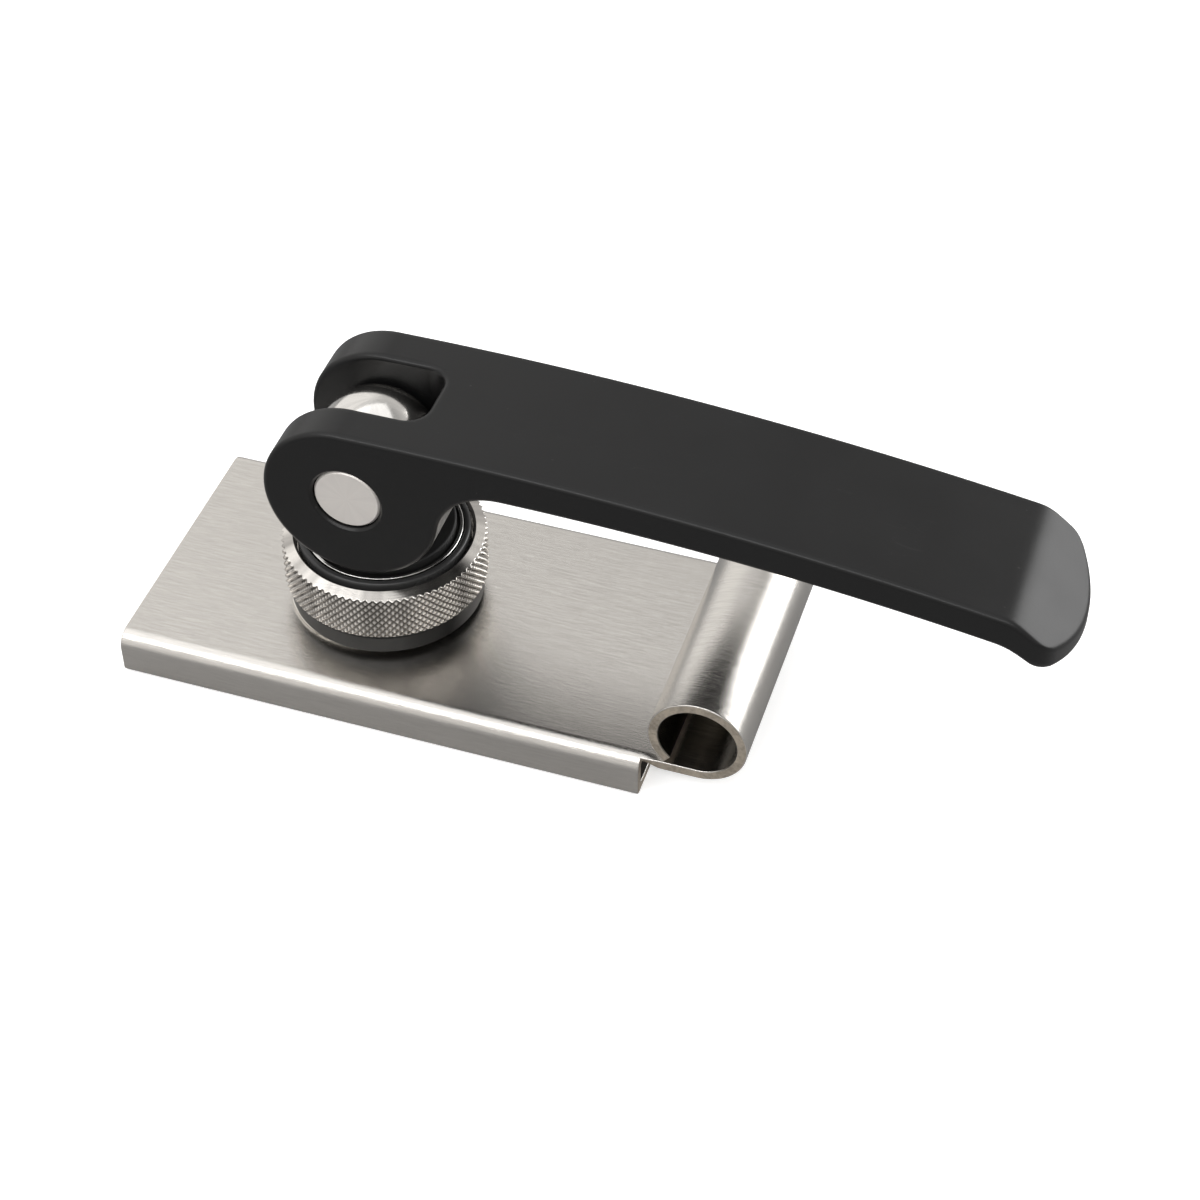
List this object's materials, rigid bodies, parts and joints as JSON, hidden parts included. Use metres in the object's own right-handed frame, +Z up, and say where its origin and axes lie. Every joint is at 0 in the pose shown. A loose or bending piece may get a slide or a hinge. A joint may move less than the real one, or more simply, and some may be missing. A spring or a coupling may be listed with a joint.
{
  "type": "manual can opener slide clamp",
  "caption": "Folded steel slide with a rolled rod tube, clamped by a black eccentric cam lever through a knurled height-adjusting nut.",
  "frame": {"origin": "middle of the whole outline's footprint, on the plane that the slide's bottom lips stand on", "axes": "+Z up out of the slide's top face, +X along the slide and the closed lever, from the square end towards the rolled tube and the lever's tip, +Y across the slide"},
  "size_m": [0.1344, 0.0434, 0.0463],
  "materials": {
    "brushed_sheet": "stainless sheet brushed along its length, with plain cut edges",
    "turned_steel": "turned stainless steel with a diamond knurl and a bright chamfer",
    "polished_steel": "polished stainless steel with fine handling scratches",
    "pin_steel": "fine ground stainless steel end faces",
    "zinc_steel": "plain satin steel",
    "black_plastic": "hard black plastic, satin",
    "black_coat": "matt black powder coat on die-cast metal"
  },
  "bodies": {
    "base": {"base_plate": "brushed_sheet", "slip_washer": "turned_steel", "threaded_bush": "black_plastic"},
    "cup": {"thrust_cup": "black_plastic", "cam_pad": "black_plastic", "pad_ring": "polished_steel"},
    "nut": {"knurled_nut": "turned_steel"},
    "shoe": {"clamp_shoe": "zinc_steel", "shoe_clip": "zinc_steel"},
    "stud": {"eye_stud": "polished_steel"},
    "lever": {"lever": "black_coat", "pivot_pin": "pin_steel"}
  },
  "joints": [
    {"name": "adjuster_lift", "type": "slide", "parent": "base", "child": "cup", "axis": [0, 0, 1], "range_m": [0, 0.0009]},
    {"name": "adjuster_turn", "type": "hinge", "parent": "cup", "child": "nut", "pos_m": [-0.03355, 0, 0.0152], "axis": [0, 0, 1], "range_deg": [0, 217]},
    {"name": "cam_lift", "type": "slide", "parent": "cup", "child": "shoe", "axis": [0, 0, 1], "range_m": [-0.00099, 0]},
    {"name": "lever_swivel", "type": "hinge", "parent": "shoe", "child": "stud", "pos_m": [-0.03355, 0, 0.0036], "axis": [0, 0, 1], "continuous": true},
    {"name": "lever_pivot", "type": "hinge", "parent": "stud", "child": "lever", "pos_m": [-0.03355, 0, 0.0347], "axis": [0, -1, 0], "range_deg": [0, 100]}
  ],
  "couplings": [
    {"joint": "adjuster_turn", "follows": "adjuster_lift", "rad_per_m": 4188.8},
    {"joint": "cam_lift", "follows": "lever_pivot", "m_per_rad": -0.00055704}
  ]
}
